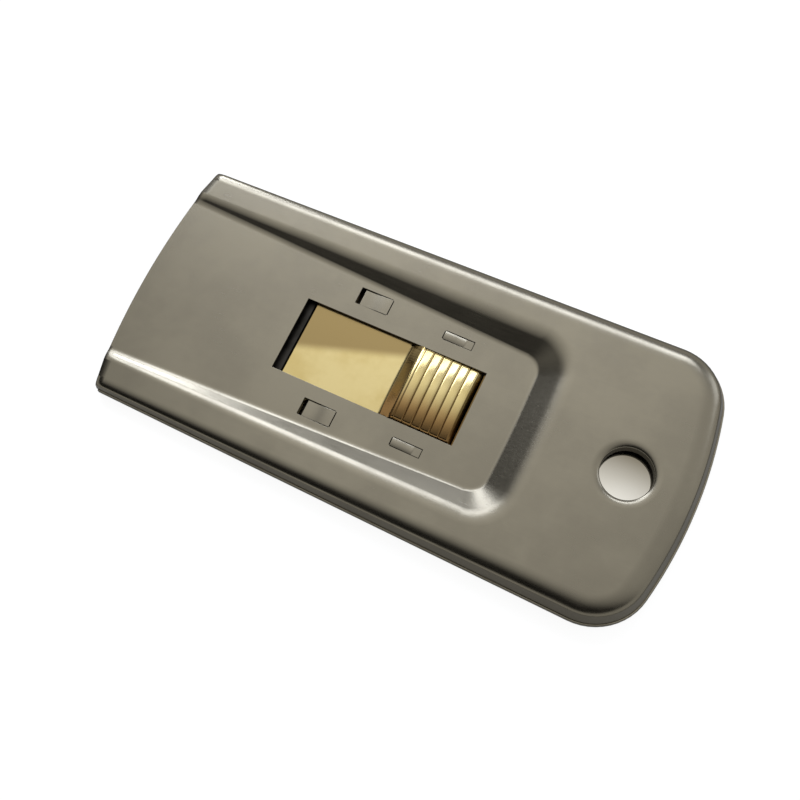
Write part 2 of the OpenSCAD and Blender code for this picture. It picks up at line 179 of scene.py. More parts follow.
class ScraperSizes(bpy.types.PropertyGroup):
    """Sizes of the pieces, which follow the CAD frame."""

    body_length: length(
        "Body length", "Over the mouth and the rear end", (CAD_BOX[1][0] - CAD_BOX[0][0]) / MM
    )
    front_width: length("Front width", "Between the straight sides at the mouth", 45.6)
    rear_width: length("Rear width", "Between the straight sides carried on to the rear end", 49.4)
    front_arc: length("Front arc", "Radius of the round front edge", 132)
    rear_arc: length("Rear arc", "Radius of the round rear edge", 82)
    rear_corner: length("Rear corner", "Radius of the rear corners", 10)
    front_height: length("Front height", "Rim over the table at the mouth", 3.3)
    rear_height: length("Rear height", "Rim over the table at the rear end", 5.4)
    sheet: length("Sheet", "Thickness of both steel covers", 0.5)
    front_bend: length("Front bend", "Height of the shoulder from walls to rim, at the mouth", 0.6)
    rear_bend: length("Rear bend", "The same at the rear end", 1.25)
    front_shoulder: length("Front shoulder", "How far in that shoulder reaches, at the mouth", 1.6)
    rear_shoulder: length("Rear shoulder", "The same at the rear end", 3.4)
    wall_foot: length("Wall foot", "From the outline to the walls, over the back's edge", 0.3)
    front_wall_top: length("Front wall top", "Outline to the walls' top, at the mouth", 0.55)
    rear_wall_top: length("Rear wall top", "The same at the rear end", 1.05)
    seam_gap: length("Seam gap", "Play between the turned-up edge and the wall inside it", 0.05)
    flange_height: length("Flange height", "Height of the turned-up edge of the back", 1.5)
    flange_setback: length("Flange setback", "Where that edge starts behind the mouth", 0.2)
    foot_bend: length("Foot bend", "Outside radius under the turned-up edge", 0.6)
    lip_run: length("Lip run", "Length over which the rims' front ends turn down", 1.6)
    lip_drop: length("Lip drop", "How far the rims' front ends turn down", 0.45)
    lip_inset: length("Lip inset", "From the recess to the part of the rims that turns down", 1.6)
    panel_height: length("Panel height", "Sunken panel over the table", 3)
    recess_width: length("Recess width", "Between the rims", 33.7)
    recess_from_rear: length("Recess from rear", "From the rear end to the sunken area", 27)
    panel_corner: length("Panel corner", "Radius of the panel's rear corners", 3)
    recess_corner: length("Recess corner", "Radius of the rim round those corners", 6.5)
    rim_bend: length("Rim bend", "How far the bend at the rim reaches to each side", 1.4)
    panel_bend: length("Panel bend", "How far the bend at the panel reaches to each side", 0.35)
    mouth_rim_bend: length("Mouth rim bend", "Reach of the bend on to the rim, at the mouth", 0.6)
    mouth_panel_bend: length("Mouth panel bend", "The same for the bend on to the panel", 0.45)
    recess_rear_arc: length("Recess rear arc", "Radius of the sunken area's rear edge", 260)
    window_length: length("Window length", "Along the panel", 33.6)
    window_width: length("Window width", "Across the panel", 13.7)
    window_from_front: length("Window from front", "From the mouth's edge to the window", 28.5)
    square_length: length("Square length", "Square tongue's opening along the panel", 5.9)
    square_width: length("Square width", "Square tongue's opening across the panel", 3.1)
    square_from_window: length("Square from window", "From the window's front to the opening", 7.7)
    square_slit: length("Square slit", "Slit at the square tongue's free end", 0.75)
    square_run: length("Square run", "Length of the square tongue's step down", 4.4)
    square_drop: length("Square drop", "How far the square tongue steps down", 0.3)
    narrow_length: length("Narrow length", "Narrow tongue along the panel", 5.3)
    narrow_width: length("Narrow width", "Narrow tongue across the panel", 1.7)
    narrow_from_window: length("Narrow from window", "From the window's rear end to the tongue", 4)
    narrow_run: length("Narrow run", "Length of the narrow tongue's slope", 4)
    narrow_drop: length("Narrow drop", "How far the narrow tongue slopes down", 0.13)
    shear_gap: length("Shear gap", "Gap along the sides of the tongues", 0.08)
    tongue_from_window: length("Tongue from window", "From the window's side to the tongues", 2.55)
    tongue_lap: length("Tongue lap", "Flat end of a tongue in the panel, behind its root", 0.3)
    hole: length("Hole", "Diameter of the hanging hole", 8.6)
    hole_from_rear: length("Hole from rear", "From the rear end to the hole's middle", 12.2)
    hole_roll: length("Hole roll", "How wide the edge that is drawn down into the hole is", 1.4)
    hole_fall: length("Hole fall", "How deep that edge goes", 0.4)
    collar: length("Collar", "Depth of the collar drawn down round the hole", 2.2)
    brass: length("Brass", "Thickness of the slide", 0.5)
    brass_top: length("Brass top", "Upper face of the slide over the table", 2.16)
    strip_front_gap: length("Strip front gap", "From the window's front end to the strip", 1.7)
    strip_half: length("Strip half", "Half of the strip's width", 9.18)
    strip_corner: length("Strip corner", "Radius of the slide's corners", 0.6)
    cross_length: length("Cross length", "Length of the cross bar", 5.9)
    arm_reach: length("Arm reach", "How far the arms reach in front of the strip", 8.6)
    arm_width: length("Arm width", "Width of each arm", 3.2)
    blade_width: length("Blade width", "Length of the cutting edge", 38.1)
    lug_length: length("Lug length", "Lug in the blade's notch, along the slide", 2.6)
    lug_width: length("Lug width", "Lug in the blade's notch, across the slide", 1.4)
    lug_depth: length("Lug depth", "How far the lug reaches under the arm's face", 1.49)
    lug_inset: length("Lug inset", "From the arm's side to the lug", 0.2)
    lug_seat: length("Lug seat", "How far the lug's head lies under the arm's face", 0.05)
    hump_length: length("Hump length", "Thumb hump along the slide", 13.2)
    hump_rear_gap: length("Hump rear gap", "From the hump to the window's rear end", 0.3)
    hump_half: length("Hump half", "Half of the hump's width", 6.72)
    hump_height: length("Hump height", "Crest over the table", 4.4)
    hump_front_run: length("Hump front run", "Length of the front slope", 2.1)
    hump_rear_run: length("Hump rear run", "Length of the rear slope", 0.8)
    hump_fall: length("Hump fall", "How much lower the crest is at its rear end", 0.7)
    hump_arch: length("Hump arch", "Radius across the hump", 24)
    hump_sheet: length("Hump sheet", "Thickness of the brass where it is drawn into the hump", 0.25)
    hump_edge: length("Hump edge", "How far the hump's edges are eased", 0.42)
    front_apron: length("Front apron", "Flat edge in front of the hump", 0.7)
    rear_apron: length("Rear apron", "Flat edge behind the hump", 0.3)
    rib_front_gap: length("Rib front gap", "From the front slope to the first rib", 0.55)
    rib_rise: length("Rib rise", "How far a rib stands out", 0.15)
    tail_length: length("Tail length", "Springy tail behind the hump", 11)
    tail_width: length("Tail width", "Width of the tail", 10)
    tail_lap: length("Tail lap", "Root of the tail under the hump", 0.6)
    tail_flat: length("Tail flat", "Flat stretch behind the hump", 1.6)
    tail_tip: length("Tail tip", "Upturned end of the tail", 3.3)
    tip_rise: length("Tip rise", "How far that end turns up", 0.2)
    tail_bend: length("Tail bend", "How far the tail's bends reach to each side", 1)
    tail_height: length("Tail height", "Lowest part of the tail over the table", 0.6)
    recess_slope: bpy.props.FloatProperty(
        name="Recess slope",
        description="Slope of the walls down to the panel",
        default=math.radians(21.5),
        subtype="ANGLE",
    )
    rib_count: bpy.props.IntProperty(
        name="Ribs", description="Cross ribs on the hump", default=6, min=1
    )


class ScraperColours(bpy.types.PropertyGroup):
    """Colours of the finishes."""

    steel: colour("Steel", "Tumbled stainless steel of the covers", "#9f9886")
    steel_dull: colour("Dull steel", "The same steel where hands have dulled it", "#968f7e")
    brass: colour("Brass", "Rolled brass of the slide", "#f0dc9e")
    brass_dull: colour("Dull brass", "The same brass where it has tarnished", "#e3cb88")
    # Painted shade on the hump's front slope and a painted dark reflection on the strip's corner
    slope_and_corner_shade: colour("Tarnish", "Brass browned on the front slope and the strip's corner", "#ae9766")
    # Painted shade on the hump's near side, which faces away from the light
    near_side_shade: colour("Patina", "Brass browned by handling, on the hump's near side", "#c99c62")
    # Painted shade in the grooves between the ribs and behind the last rib
    groove_shade: colour("Grime", "Dirt in the grooves between the ribs", "#6b5028")
    blade: colour("Blade steel", "Ground blade steel", "#b4b6b8")
    blade_dull: colour("Dull blade steel", "Blade steel with a film of oil", "#9c9d9d")
    # Painted shade: the spine is coloured dark so the gap in front of the brass strip reads dark
    spine: colour("Spine steel", "Blackened strip folded over the blade's back", "#34322e")
    spine_dull: colour("Dull spine steel", "The same strip where it is scuffed", "#4a4742")
    shade: colour("Shade", "White table seen through the hole, on its near side", "#e8e4d8")
    deep_shade: colour("Deep shade", "The same table on the hole's far side", "#857d6c")
    daylight: colour("Daylight", "Light of the lamps", "#e4ecff")


def sizes(context):
    """The sizes in millimetres, with the lines that follow from them."""
    group = context.scene.scraper_sizes
    s = SimpleNamespace()
    for name, prop in group.bl_rna.properties.items():
        if prop.type in ("FLOAT", "INT"):
            value = getattr(group, name)
            setattr(s, name, value / MM if prop.unit == "LENGTH" else value)
    s.half_length = s.body_length / 2
    s.side_rise = (s.rear_width - s.front_width) / 2 / s.body_length
    s.side_half = (s.front_width + s.rear_width) / 4
    s.tilt = (s.rear_height - s.front_height) / s.body_length
    s.rim_height = (s.front_height + s.rear_height) / 2
    s.wall_slope = math.tan(s.recess_slope)
    s.recess_x = s.half_length - s.recess_from_rear
    s.recess_top = s.rim_height + s.tilt * s.recess_x
    s.rear_run = (s.recess_top - s.panel_height) / s.wall_slope
    s.window_x = -s.half_length + s.window_from_front
    s.window_rear_x = s.window_x + s.window_length
    s.tongue_y = s.window_width / 2 + s.tongue_from_window
    s.square_x = s.window_x + s.square_from_window
    s.narrow_x = s.window_rear_x - s.narrow_from_window - s.narrow_length
    s.hole_x = s.half_length - s.hole_from_rear
    s.strip_x = s.window_x + s.strip_front_gap
    s.hump_rear_x = s.window_rear_x - s.hump_rear_gap
    s.hump_x = s.hump_rear_x - s.hump_length
    s.crest_x = s.hump_x + s.hump_front_run
    s.rib_x = s.crest_x + s.rib_front_gap
    s.crest_end_x = s.hump_rear_x - s.hump_rear_run
    s.rib_pitch = (s.crest_end_x - s.rib_x) / s.rib_count
    return s


def add(tree, kind, inputs=(), **settings):
    """Adds a node with its settings and its inputs, which are in order or named.

    An input is a value, an output to link, or a node whose first output is linked.
    """
    made = tree.nodes.new("ShaderNode" + kind)
    for name, value in settings.items():
        setattr(made, name, value)
    for name, value in inputs.items() if isinstance(inputs, dict) else enumerate(inputs):
        if isinstance(value, bpy.types.Node):
            value = value.outputs[0]
        if isinstance(value, bpy.types.NodeSocket):
            tree.links.new(value, made.inputs[name])
        else:
            made.inputs[name].default_value = value
    return made


def new_finish(name):
    """An empty node material, with its tree."""
    finish = bpy.data.materials.new(name)
    finish.use_nodes = True
    finish.node_tree.nodes.clear()
    return finish, finish.node_tree


def sheet_metal(name, bright, dull, grain_mm, cloud_mm, roughness, bump_mm):
    """Metal sheet with a fine grain and with clouds in its gloss, and its tree and shader."""
    finish, tree = new_finish(name)
    place = add(tree, "TexCoord").outputs["Object"]
    grain_scale = [1 / (size * MM) for size in grain_mm]
    stretch = add(tree, "Mapping", {"Vector": place, "Scale": grain_scale})
    grain = add(tree, "TexNoise", {"Vector": stretch, "Scale": 1.0, "Detail": 3.0})
    cloud_scale = 1 / (cloud_mm * MM)
    clouds = add(
        tree, "TexNoise", {"Vector": place, "Scale": cloud_scale, "Detail": 4.0, "Roughness": 0.6}
    )
    patch = add(tree, "MapRange", [clouds, 0.35, 0.7], **SOFT)
    tone = add(tree, "Mix", {"Factor": patch, 6: bright, 7: dull}, data_type="RGBA").outputs[2]
    streak = add(tree, "MapRange", [grain, 0.3, 0.7, -0.02, 0.02])
    gloss = add(tree, "MapRange", [patch, 0, 1, *roughness])
    rough = add(tree, "Math", [gloss, streak], operation="ADD", use_clamp=True)
    relief = add(tree, "Bump", {"Height": grain, "Distance": bump_mm * MM, "Strength": 1.0})
    shader = add(
        tree,
        "BsdfPrincipled",
        {"Base Color": tone, "Roughness": rough, "Normal": relief, "Metallic": 1.0},
    )
    add(tree, "OutputMaterial", {"Surface": shader})
    return finish, tree, shader


def leave_edit_mode():
    """Goes to object mode with nothing selected."""
    if bpy.context.mode != "OBJECT":
        bpy.ops.object.mode_set(mode="OBJECT")
    bpy.ops.object.select_all(action="DESELECT")


def new_piece(name):
    """An empty mesh, open in edit mode."""
    leave_edit_mode()
    bpy.ops.mesh.primitive_plane_add(size=1)
    piece = bpy.context.object
    piece.name = piece.data.name = name
    bpy.ops.object.mode_set(mode="EDIT")
    bpy.ops.mesh.select_mode(type="VERT")
    bpy.ops.mesh.delete(type="VERT")
    return piece


class Pen:
    """Draws a chain of edges in edit mode: a point, then lines and arcs on from it."""

    def __init__(self, *at):
        self.at = Vector(at)
        bpy.ops.mesh.select_all(action="DESELECT")
        bpy.ops.mesh.primitive_plane_add(size=1, location=self.at)
        bpy.ops.mesh.merge(type="CENTER")

    def line(self, *points):
        for point in points:
            step = Vector(point) - self.at
            bpy.ops.mesh.extrude_region_move(TRANSFORM_OT_translate={"value": step})
            self.at = Vector(point)

    def arc(self, centre, angle, steps, axis=(0, 0, 1)):
        """Turns round the centre, anticlockwise for someone whom the axis points at."""
        bpy.ops.mesh.spin(steps=steps, angle=-angle, center=centre, axis=axis)
        self.at = Matrix.Rotation(angle, 3, axis) @ (self.at - Vector(centre)) + Vector(centre)


def pick(piece, points=None, edges=None, faces=None):
    """Selects in edit mode by place.

    A point's test is given its place, an edge's and a face's the places of all their points.
    """
    bpy.ops.mesh.select_all(action="DESELECT")
    mesh = bmesh.from_edit_mesh(piece.data)
    if points:
        for v in mesh.verts:
            v.select_set(points(v.co))
    for items, test in ((mesh.edges, edges), (mesh.faces, faces)):
        if test:
            for item in items:
                if test([v.co for v in item.verts]):
                    item.select_set(True)
    mesh.select_flush(True)
    bmesh.update_edit_mesh(piece.data)


def weld(threshold=WELD):
    """Merges all points of the open piece that lie together."""
    bpy.ops.mesh.select_all(action="SELECT")
    bpy.ops.mesh.remove_doubles(threshold=threshold)


def only(piece):
    """Leaves edit mode with this piece alone selected."""
    leave_edit_mode()
    piece.select_set(True)
    bpy.context.view_layer.objects.active = piece


def modify(piece, kind, **settings):
    """Adds a modifier with its settings and applies it."""
    only(piece)
    bpy.ops.object.modifier_add(type=kind)
    modifier = piece.modifiers[-1]
    for name, value in settings.items():
        setattr(modifier, name, value)
    bpy.ops.object.modifier_apply(modifier=modifier.name)


def ease(piece, width, segments=2):
    """Rounds the piece's sharp corners."""
    modify(piece, "BEVEL", width=width, segments=segments, limit_method="ANGLE", angle_limit=SHARP)


def cut(piece, cutter):
    """Cuts the cutter's shape out of the piece."""
    modify(piece, "BOOLEAN", operation="DIFFERENCE", object=cutter, solver="EXACT")
    bpy.data.objects.remove(cutter)


def face_outwards(piece, at, up=1):
    """Turns a sheet's faces all the same way: the one nearest to a point looks up, or down."""
    bpy.ops.mesh.select_all(action="SELECT")
    bpy.ops.mesh.normals_make_consistent(inside=False)
    faces = bmesh.from_edit_mesh(piece.data).faces
    nearest = min(faces, key=lambda face: (face.calc_center_median() - Vector(at)).length)
    if nearest.normal.z * up < 0:
        bpy.ops.mesh.flip_normals()


def join(piece, *others):
    """Makes one piece of several."""
    only(piece)
    for other in others:
        other.select_set(True)
    bpy.ops.object.join()


def finish_piece(piece, name, finish, body, node):
    """Names a piece, brings it to metres, shades it and lets it ride for its CAD node."""
    only(piece)
    piece.name = piece.data.name = name
    piece.scale = (MM, MM, MM)
    bpy.ops.object.transform_apply(location=True, rotation=True, scale=True)
    bpy.ops.object.shade_smooth_by_angle(angle=SMOOTH)
    modify(piece, "WEIGHTED_NORMAL", keep_sharp=True, weight=60)
    piece.vertex_groups.clear()
    piece.data.materials.clear()
    piece.data.materials.append(finish)
    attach(piece, body)
    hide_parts(node)


def lay_rail(piece, names, s, half, slope, rear_x, rear_r, corner_r, height, tilt, ends):
    """Draws a U-shaped row from the mouth round the rear end, in a tilted plane, and groups it.

    half and slope give the straight sides' distance from the middle, and ends says how far behind
    the front edge the first points lie. The row's name is added to the names.
    """
    lean = math.atan(slope)
    middle = rear_x - rear_r
    inner = half - corner_r / math.cos(lean)
    # The corner's centre lies on a line inside the straight side and on an arc inside the rear end
    a = 1 + slope * slope
    b = slope * inner - middle
    c = middle * middle + inner * inner - (rear_r - corner_r) ** 2
    corner_x = (-b + math.sqrt(b * b - a * c)) / a
    corner_y = inner + slope * corner_x
    turn_from = math.atan2(corner_y, corner_x - middle)
    turn = math.pi / 2 + lean - turn_from
    # Where the side meets the round front edge, nearer with each try
    front_x = -s.half_length
    for _ in range(4):
        side_y = half + slope * front_x
        front_x = -s.half_length + s.front_arc - math.sqrt(s.front_arc**2 - side_y**2)
    front = [(front_x + end, half + slope * (front_x + end)) for end in ends]
    pen = Pen(front[0][0], -front[0][1], 0)
    pen.line(*[(x, -y, 0) for x, y in front[1:]])
    pen.line((corner_x - corner_r * math.sin(lean), -corner_y - corner_r * math.cos(lean), 0))
    pen.arc((corner_x, -corner_y, 0), turn, CORNER_STEPS)
    pen.arc((middle, 0, 0), 2 * turn_from, REAR_STEPS)
    pen.arc((corner_x, corner_y, 0), turn, CORNER_STEPS)
    pen.line(*[(x, y, 0) for x, y in reversed(front)])
    bpy.ops.mesh.select_linked()
    bpy.ops.transform.rotate(value=math.atan(tilt), orient_axis="Y", center_override=(0, 0, 0))
    bpy.ops.transform.translate(value=(0, 0, height))
    names.append(f"row_{len(names)}")
    bpy.ops.object.vertex_group_add()
    piece.vertex_groups.active.name = names[-1]
    bpy.ops.object.vertex_group_assign()


def lay_border(piece, names, s, front, rear, ends):
    """Draws a row along the outline: how far in and how high, at the mouth and at the rear."""
    half = s.side_half - (front[0] + rear[0]) / 2 / math.cos(math.atan(s.side_rise))
    slope = s.side_rise + (front[0] - rear[0]) / s.body_length
    height, tilt = (front[1] + rear[1]) / 2, (rear[1] - front[1]) / s.body_length
    lay_rail(
        piece, names, s, half, slope, s.half_length - rear[0], s.rear_arc - rear[0],
        s.rear_corner - rear[0], height, tilt, ends,
    )


def lay_recess(piece, names, s, front, rear, ends):
    """Draws a row along the recess: how far in and how high, at the mouth and at the rear."""
    reach = s.recess_x + s.half_length
    slope, tilt = (rear[0] - front[0]) / reach, (rear[1] - front[1]) / reach
    half = s.recess_width / 2 - front[0] - slope * s.half_length
    round_r = s.recess_corner - rear[0] / s.rear_run * (s.recess_corner - s.panel_corner)
    lay_rail(
        piece, names, s, half, -slope, s.recess_x - rear[0], s.recess_rear_arc, round_r,
        front[1] + tilt * s.half_length, tilt, ends,
    )


def pick_rows(*names):
    """Selects the points of the named rows."""
    bpy.ops.mesh.select_all(action="DESELECT")
    for name in names:
        bpy.ops.object.vertex_group_set_active(group=name)
        bpy.ops.object.vertex_group_select()


def bridge_rows(names):
    """Spans faces between each row and the next."""
    for name, following in zip(names, names[1:]):
        pick_rows(name, following)
        bpy.ops.mesh.bridge_edge_loops()


def fill_to_front(piece, s, row, height):
    """Closes a row along the round front edge with one face."""
    pick_rows(row)
    mesh = bmesh.from_edit_mesh(piece.data)
    ends = sorted((v.co.copy() for v in mesh.verts if v.select), key=lambda p: p.x)[:2]
    low, high = sorted(ends, key=lambda p: p.y)
    centre_x = -s.half_length + s.front_arc
    sweep = 2 * math.atan2(high.y, centre_x - high.x)
    pen = Pen(low.x, low.y, height)
    pen.arc((centre_x, 0, height), -sweep, FRONT_STEPS)
    bpy.ops.mesh.select_linked()
    bpy.ops.object.vertex_group_set_active(group=row)
    bpy.ops.object.vertex_group_select()
    bpy.ops.mesh.remove_doubles(threshold=WELD)
    bpy.ops.mesh.edge_face_add()


def thicken(piece, s, rows, shares):
    """Gives a sheet its thickness, and on the named rows only a share of it."""
    bpy.ops.mesh.select_all(action="SELECT")
    bpy.ops.object.vertex_group_add()
    piece.vertex_groups.active.name = "thickness"
    tools = bpy.context.tool_settings
    tools.vertex_group_weight = 1
    bpy.ops.object.vertex_group_assign()
    for row, share in zip(rows, shares):
        pick_rows(row)
        bpy.ops.object.vertex_group_set_active(group="thickness")
        tools.vertex_group_weight = share
        bpy.ops.object.vertex_group_assign()
    tools.vertex_group_weight = 1
    modify(
        piece, "SOLIDIFY", thickness=s.sheet, offset=-1, use_even_offset=True,
        vertex_group="thickness",
    )


def boxes(name, *spans):
    """One object made of blocks, each from a lowest to a highest corner."""
    leave_edit_mode()
    made = []
    for low, high in spans:
        bpy.ops.mesh.primitive_cube_add(
            size=1,
            location=[(a + b) / 2 for a, b in zip(low, high)],
            scale=[b - a for a, b in zip(low, high)],
        )
        made.append(bpy.context.object)
    join(*made)
    made[0].name = name
    bpy.ops.object.transform_apply(location=True, rotation=True, scale=True)
    return made[0]


def bend_points(top, bottom, run, rim, panel, steps=7):
    """A section from the rim down to the panel: two bends with straights before, between and after.

    rim and panel say how far each bend reaches to both sides of the sharp corner that it rounds.
    """
    fall = (top - bottom) / run

    def curve(a, b, c):
        for i in range(steps + 1):
            t = i / steps
            yield [p * (1 - t) ** 2 + q * 2 * t * (1 - t) + r * t * t for p, q, r in zip(a, b, c)]

    upper = curve((-rim[0], top), (0, top), (rim[1], top - fall * rim[1]))
    start, end = run - panel[0], run + panel[1]
    lower = curve((start, bottom + fall * panel[0]), (run, bottom), (end, bottom))
    return [(-rim[0] - FLAT, top), *upper, *lower, (end + FLAT, bottom)]


def make_shell(s):
    """The top cover's sheet: rows from its walls over the rim to its panel, spanned by faces."""
    piece = new_piece("top_cover_sheet")
    ends = (*[run * s.lip_run for run, _ in LIP_ROWS], s.lip_run)
    names = []
    # Outer wall, stepped in behind the back's edge
    inside = s.sheet + 2 * s.seam_gap
    low, middle = s.sheet + s.seam_gap, 0.6 * s.flange_height
    for row in ((inside, low), (inside, middle), (s.wall_foot, s.flange_height)):
        lay_border(piece, names, s, row, row, ends)
    # The shoulder up to the rim: tight at the side, gentle on top
    sections = (
        (s.front_height, s.front_wall_top, s.front_shoulder, s.front_bend),
        (s.rear_height, s.rear_wall_top, s.rear_shoulder, s.rear_bend),
    )
    tight = len(names)
    steps = 14
    for i in range(1, steps + 1):
        t = math.pi / 2 * i / steps
        places = [
            (start + reach * (1 - math.cos(t)), height - fall * (1 - math.sin(t)))
            for height, start, reach, fall in sections
        ]
        lay_border(piece, names, s, *places, ends)
    places = [(start + reach + FLAT, height) for height, start, reach, _ in sections]
    lay_border(piece, names, s, *places, ends)
    # Rim's inner bend, the wall and the panel's bend: at the mouth they run into one gentle step
    front_run = MOUTH_GENTLE * (s.front_height - s.panel_height) / s.wall_slope
    meet = MOUTH_MEET * front_run
    rim, panel = (s.mouth_rim_bend, meet), (meet, s.mouth_panel_bend)
    front = bend_points(s.front_height, s.panel_height, front_run, rim, panel)
    rim, panel = (s.rim_bend, s.rim_bend), (s.panel_bend, s.panel_bend)
    rear = bend_points(s.recess_top, s.panel_height, s.rear_run, rim, panel)
    for places in zip(front, rear):
        lay_recess(piece, names, s, *places, ends)
    bridge_rows(names)
    fill_to_front(piece, s, names[-1], s.panel_height)

    # The rims' front ends turn down, over the walls but not next to the recess
    def behind(p):
        return p.x + s.half_length - s.front_arc + math.sqrt(s.front_arc**2 - p.y**2)

    side, above = s.recess_width / 2 + s.lip_inset, s.flange_height + s.wall_foot
    for run, drop in LIP_ROWS:
        at = run * s.lip_run
        pick(piece, lambda p: abs(behind(p) - at) < NEAR and abs(p.y) > side and p.z > above)
        bpy.ops.transform.translate(value=(0, 0, -drop * s.lip_drop))
    face_outwards(piece, (0, 0, s.panel_height))
    thicken(piece, s, names[tight:], DRAWN_THIN)
    return piece


def tongue(s, root_x, tip_x, side, width, run, drop):
    """A sheared tongue: an S-shaped step down from its root, and a level end."""
    piece = new_piece("tongue")
    way = 1 if tip_x > root_x else -1
    swing = 2 * math.atan(drop / run)
    radius = run / 2 / math.sin(swing)
    low, high = s.tongue_y + s.shear_gap, s.tongue_y + width - s.shear_gap
    y, top = low if side > 0 else -high, s.panel_height
    pen = Pen(root_x - way * s.tongue_lap, y, top)
    pen.line((root_x, y, top))
    pen.arc((root_x, y, top - radius), way * swing, 6, axis=(0, 1, 0))
    pen.arc((root_x + way * run, y, top - drop + radius), -way * swing, 6, axis=(0, 1, 0))
    pen.line((tip_x, y, top - drop))
    bpy.ops.mesh.select_linked()
    bpy.ops.mesh.extrude_region_move(TRANSFORM_OT_translate={"value": (0, high - low, 0)})
    face_outwards(piece, (root_x, y, top))
    modify(piece, "SOLIDIFY", thickness=s.sheet, offset=-1, use_even_offset=True)
    ease(piece, EASED["tongue"])
    return piece


def collar(s):
    """The edge drawn down round the hanging hole, one section turned full circle."""
    piece = new_piece("collar")
    inner = s.hole / 2
    outer = inner + s.hole_roll
    back = inner + s.sheet
    pen = Pen(outer, 0, 0)
    steps = 12
    for i in range(1, steps + 1):
        t = math.pi / 2 * i / steps
        pen.line((outer - s.hole_roll * math.sin(t), 0, -s.hole_fall * (1 - math.cos(t))))
    pen.line((inner, 0, -s.collar), (back, 0, -s.collar), (back, 0, -s.sheet - FLAT))
    pen.line((outer, 0, -s.sheet), (outer, 0, 0))
    bpy.ops.mesh.select_linked()
    bpy.ops.mesh.remove_doubles(threshold=PLAY)
    bpy.ops.mesh.spin(steps=ROUND_STEPS, angle=2 * math.pi, center=(0, 0, 0), axis=(0, 0, 1))
    weld(PLAY)
    bpy.ops.mesh.normals_make_consistent(inside=False)
    bpy.ops.transform.rotate(value=math.atan(s.tilt), orient_axis="Y", center_override=(0, 0, 0))
    bpy.ops.transform.translate(value=(s.hole_x, 0, s.rim_height + s.tilt * s.hole_x))
    return piece


def hole_cutter(s, radius):
    """A round cutter through both covers at the hanging hole."""
    bpy.ops.mesh.primitive_cylinder_add(
        vertices=ROUND_STEPS, radius=radius, depth=4 * s.rear_height,
        location=(s.hole_x, 0, 0),
    )
    return bpy.context.object


class SCRAPER_OT_top_cover(bpy.types.Operator):
    """Stamp the top cover: rim, sunken panel, window, guide tongues and the hole's collar"""

    bl_idname = "scraper.top_cover"
    bl_label = "Top Cover"

    def execute(self, context):
        s = sizes(context)
        piece = make_shell(s)
        over, under = s.panel_height + OVERCUT, s.panel_height - s.sheet - OVERCUT
        half = s.window_width / 2
        spans = [((s.window_x, -half, under), (s.window_rear_x, half, over))]
        for side in (1, -1):
            for x, along, width in (
                (s.square_x, s.square_length, s.square_width),
                (s.narrow_x, s.narrow_length, s.narrow_width),
            ):
                low, high = sorted((side * s.tongue_y, side * (s.tongue_y + width)))
                spans.append(((x, low, under), (x + along, high, over)))
        cut(piece, boxes("panel_openings", *spans))
        ease(piece, EASED["cover"])
        cut(piece, hole_cutter(s, s.hole / 2 + s.hole_roll))
        square = s.square_x + s.square_length, s.square_x + s.square_slit
        narrow = s.narrow_x, s.narrow_x + s.narrow_length - s.shear_gap
        others = [collar(s)]
        for side in (1, -1):
            others.append(tongue(s, *square, side, s.square_width, s.square_run, s.square_drop))
            others.append(tongue(s, *narrow, side, s.narrow_width, s.narrow_run, s.narrow_drop))
        join(piece, *others)

        # Stainless sheet, stamped and tumbled: a soft satin that blurs what it mirrors, warm grey,
        # with a faint grain along the strip it was rolled in and dull clouds from handling.
        # The grain is really some hundredths of a millimetre wide, and is drawn coarser to show.
        colours = context.scene.scraper_colours
        finish, _, _ = sheet_metal(
            "tumbled_stainless_steel", colours.steel, colours.steel_dull,
            grain_mm=(4, 0.3, 0.3), cloud_mm=14, roughness=(0.22, 0.26), bump_mm=0.0001,
        )
        finish_piece(piece, "stamped_top_cover", finish, "covers", "top_cover")
        return {"FINISHED"}


class SCRAPER_OT_back_cover(bpy.types.Operator):
    """Press the back cover: a flat plate with a turned-up edge"""

    bl_idname = "scraper.back_cover"
    bl_label = "Back Cover"

    def execute(self, context):
        s = sizes(context)
        piece = new_piece("back_cover_sheet")
        names = []
        # Each row: how far in, how high and how far behind the front edge
        rows = [(s.foot_bend + FLAT, 0, 0)]
        steps = 6
        for i in range(steps + 1):
            t = math.pi / 2 * i / steps
            inset, height = s.foot_bend * (1 - math.sin(t)), s.foot_bend * (1 - math.cos(t))
            rows.append((inset, height, s.flange_setback * i / steps))
        # The edge stands up and is crimped thin against the wall behind it
        for inset, share in CRIMP_ROWS:
            rows.append((inset, share * s.flange_height, s.flange_setback))
        for *place, start in rows:
            lay_border(piece, names, s, place, place, (start, start + BACK_START))
        bridge_rows(names)
        fill_to_front(piece, s, names[0], 0)
        face_outwards(piece, (0, 0, 0), up=-1)
        thicken(piece, s, names[-2:], CRIMPED_THIN)
        cut(piece, hole_cutter(s, s.hole / 2))
        ease(piece, EASED["back"])

        # The same stainless sheet, left nearer to how it was rolled: a straighter grain and a few
        # scuffs from the tables it has lain on. The grain is drawn coarser here too.
        colours = context.scene.scraper_colours
        finish, _, _ = sheet_metal(
            "rolled_stainless_steel", colours.steel, colours.steel_dull,
            grain_mm=(9, 0.25, 0.25), cloud_mm=8, roughness=(0.25, 0.32), bump_mm=0.0008,
        )
        finish_piece(piece, "pressed_back_cover", finish, "covers", "back_cover")
        return {"FINISHED"}


